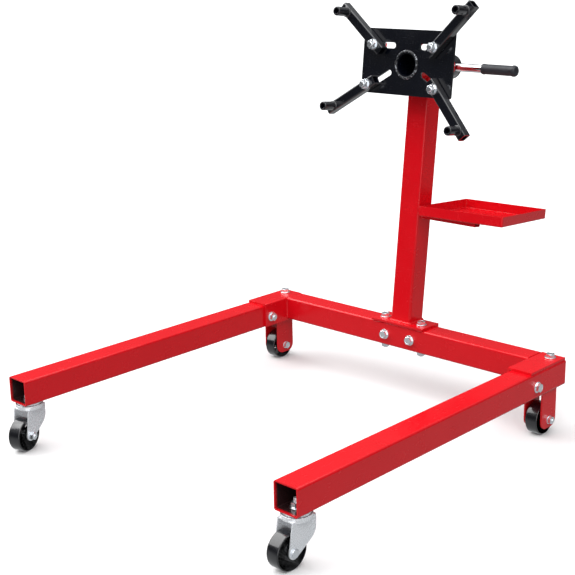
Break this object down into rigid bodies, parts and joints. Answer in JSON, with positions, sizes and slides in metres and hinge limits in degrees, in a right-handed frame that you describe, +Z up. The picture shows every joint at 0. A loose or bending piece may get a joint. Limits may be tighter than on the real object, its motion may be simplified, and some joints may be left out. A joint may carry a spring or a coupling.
{
  "type": "engine stand",
  "caption": "Rolling engine stand with a U-shaped base on casters, a leaning post, a side tray and a turning head with slotted plate and swinging mounting arms.",
  "frame": {"origin": "on the floor, in the middle of the stand's whole width and depth", "axes": "+X to the right seen from the open front of the base (the tray's side), +Y from the open ends of the legs to the post, +Z up"},
  "size_m": [0.917, 1.2, 0.9761],
  "materials": {
    "red_frame": "glossy powder coat",
    "black_paint": "glossy powder coat",
    "zinc_steel": "bright zinc plate",
    "steel_bush": "plain turned steel",
    "chrome_rod": "polished chrome plate",
    "grip_rubber": "matt moulded rubber",
    "black_plastic": "glossy moulded nylon"
  },
  "bodies": {
    "base": {"cross_tube": "red_frame", "leg_left": "red_frame", "leg_right": "red_frame", "bracket_left": "red_frame", "bracket_right": "red_frame", "leg_bolts": "zinc_steel", "corner_bolts": "zinc_steel", "post_foot": "red_frame", "post_bolts": "zinc_steel", "post_cross_bolts": "zinc_steel", "post_tube": "red_frame", "tray_bar": "red_frame", "tray_bolt": "zinc_steel", "head_sleeve": "red_frame", "index_pin_boss": "red_frame", "rear_fork_left": "red_frame", "rear_fork_right": "red_frame", "rear_axles": "zinc_steel", "rear_bushes": "steel_bush", "caster_stems": "zinc_steel", "caster_stem_nuts": "zinc_steel", "swivel_balls": "zinc_steel"},
    "tray": {"tray_pan": "red_frame"},
    "head": {"head_tube": "black_paint", "head_end_cap": "black_paint", "head_plate": "black_paint"},
    "index_pin": {"index_pin": "zinc_steel", "index_pin_knob": "black_plastic"},
    "handle": {"handle_rod": "chrome_rod", "handle_grip": "grip_rubber"},
    "clamp_upper_left": {"arm_bolt_upper_left": "zinc_steel"},
    "arm_upper_left": {"arm_upper_left": "black_paint", "standoff_upper_left": "black_paint"},
    "clamp_upper_right": {"arm_bolt_upper_right": "zinc_steel"},
    "arm_upper_right": {"arm_upper_right": "black_paint", "standoff_upper_right": "black_paint"},
    "clamp_lower_left": {"arm_bolt_lower_left": "zinc_steel"},
    "arm_lower_left": {"arm_lower_left": "black_paint", "standoff_lower_left": "black_paint"},
    "clamp_lower_right": {"arm_bolt_lower_right": "zinc_steel"},
    "arm_lower_right": {"arm_lower_right": "black_paint", "standoff_lower_right": "black_paint"},
    "caster_left": {"caster_fork_left": "zinc_steel", "caster_axle_left": "zinc_steel", "caster_bush_left": "steel_bush"},
    "front_wheel_left": {"front_wheel_left": "black_plastic"},
    "rear_wheel_left": {"rear_wheel_left": "black_plastic"},
    "caster_right": {"caster_fork_right": "zinc_steel", "caster_axle_right": "zinc_steel", "caster_bush_right": "steel_bush"},
    "front_wheel_right": {"front_wheel_right": "black_plastic"},
    "rear_wheel_right": {"rear_wheel_right": "black_plastic"}
  },
  "joints": [
    {"name": "tray_swivel", "type": "hinge", "parent": "base", "child": "tray", "pos_m": [0.135, 0.35745, 0.45467], "axis": [0, 0.1089, 0.9941], "range_deg": [-80, 0]},
    {"name": "head_spin", "type": "hinge", "parent": "base", "child": "head", "pos_m": [0, 0.316, 0.82207], "axis": [0, 0.9941, -0.1089], "continuous": true},
    {"name": "index_pin_slide", "type": "slide", "parent": "base", "child": "index_pin", "axis": [0, 0.1089, 0.9941], "range_m": [0, 0.012]},
    {"name": "handle_slide", "type": "slide", "parent": "head", "child": "handle", "axis": [1, 0, 0], "range_m": [-0.07, 0.01]},
    {"name": "clamp_slide_upper_left", "type": "slide", "parent": "head", "child": "clamp_upper_left", "axis": [-1, 0, 0], "range_m": [-0.036, 0.012]},
    {"name": "arm_swing_upper_left", "type": "hinge", "parent": "clamp_upper_left", "child": "arm_upper_left", "pos_m": [-0.086, 0.32044, 0.86534], "axis": [0, -0.9941, 0.1089], "range_deg": [-45, 35]},
    {"name": "clamp_slide_upper_right", "type": "slide", "parent": "head", "child": "clamp_upper_right", "axis": [1, 0, 0], "range_m": [-0.042, 0.006]},
    {"name": "arm_swing_upper_right", "type": "hinge", "parent": "clamp_upper_right", "child": "arm_upper_right", "pos_m": [0.092, 0.32044, 0.86534], "axis": [0, -0.9941, 0.1089], "range_deg": [-40, 45]},
    {"name": "clamp_slide_lower_left", "type": "slide", "parent": "head", "child": "clamp_lower_left", "axis": [-0.8572, -0.0561, -0.512], "range_m": [-0.049, 0.0035]},
    {"name": "arm_swing_lower_left", "type": "hinge", "parent": "clamp_lower_left", "child": "arm_lower_left", "pos_m": [-0.102, 0.31001, 0.77009], "axis": [0, -0.9941, 0.1089], "range_deg": [-30, 45]},
    {"name": "clamp_slide_lower_right", "type": "slide", "parent": "head", "child": "clamp_lower_right", "axis": [0.8572, -0.0561, -0.512], "range_m": [-0.0478, 0.0047]},
    {"name": "arm_swing_lower_right", "type": "hinge", "parent": "clamp_lower_right", "child": "arm_lower_right", "pos_m": [0.101, 0.31007, 0.77068], "axis": [0, -0.9941, 0.1089], "range_deg": [-45, 40]},
    {"name": "caster_swivel_left", "type": "hinge", "parent": "base", "child": "caster_left", "pos_m": [-0.418, -0.53407, 0.1], "axis": [0, 0, 1], "continuous": true},
    {"name": "front_wheel_spin_left", "type": "hinge", "parent": "caster_left", "child": "front_wheel_left", "pos_m": [-0.41011, -0.55989, 0.038], "axis": [0.9563, 0.2924, 0], "continuous": true},
    {"name": "caster_swivel_right", "type": "hinge", "parent": "base", "child": "caster_right", "pos_m": [0.418, -0.53407, 0.1], "axis": [0, 0, 1], "continuous": true},
    {"name": "front_wheel_spin_right", "type": "hinge", "parent": "caster_right", "child": "front_wheel_right", "pos_m": [0.41659, -0.56104, 0.038], "axis": [0.9986, -0.0523, 0], "continuous": true},
    {"name": "rear_wheel_spin_left", "type": "hinge", "parent": "base", "child": "rear_wheel_left", "pos_m": [-0.418, 0.29293, 0.038], "axis": [1, 0, 0], "continuous": true},
    {"name": "rear_wheel_spin_right", "type": "hinge", "parent": "base", "child": "rear_wheel_right", "pos_m": [0.418, 0.29293, 0.038], "axis": [1, 0, 0], "continuous": true}
  ]
}
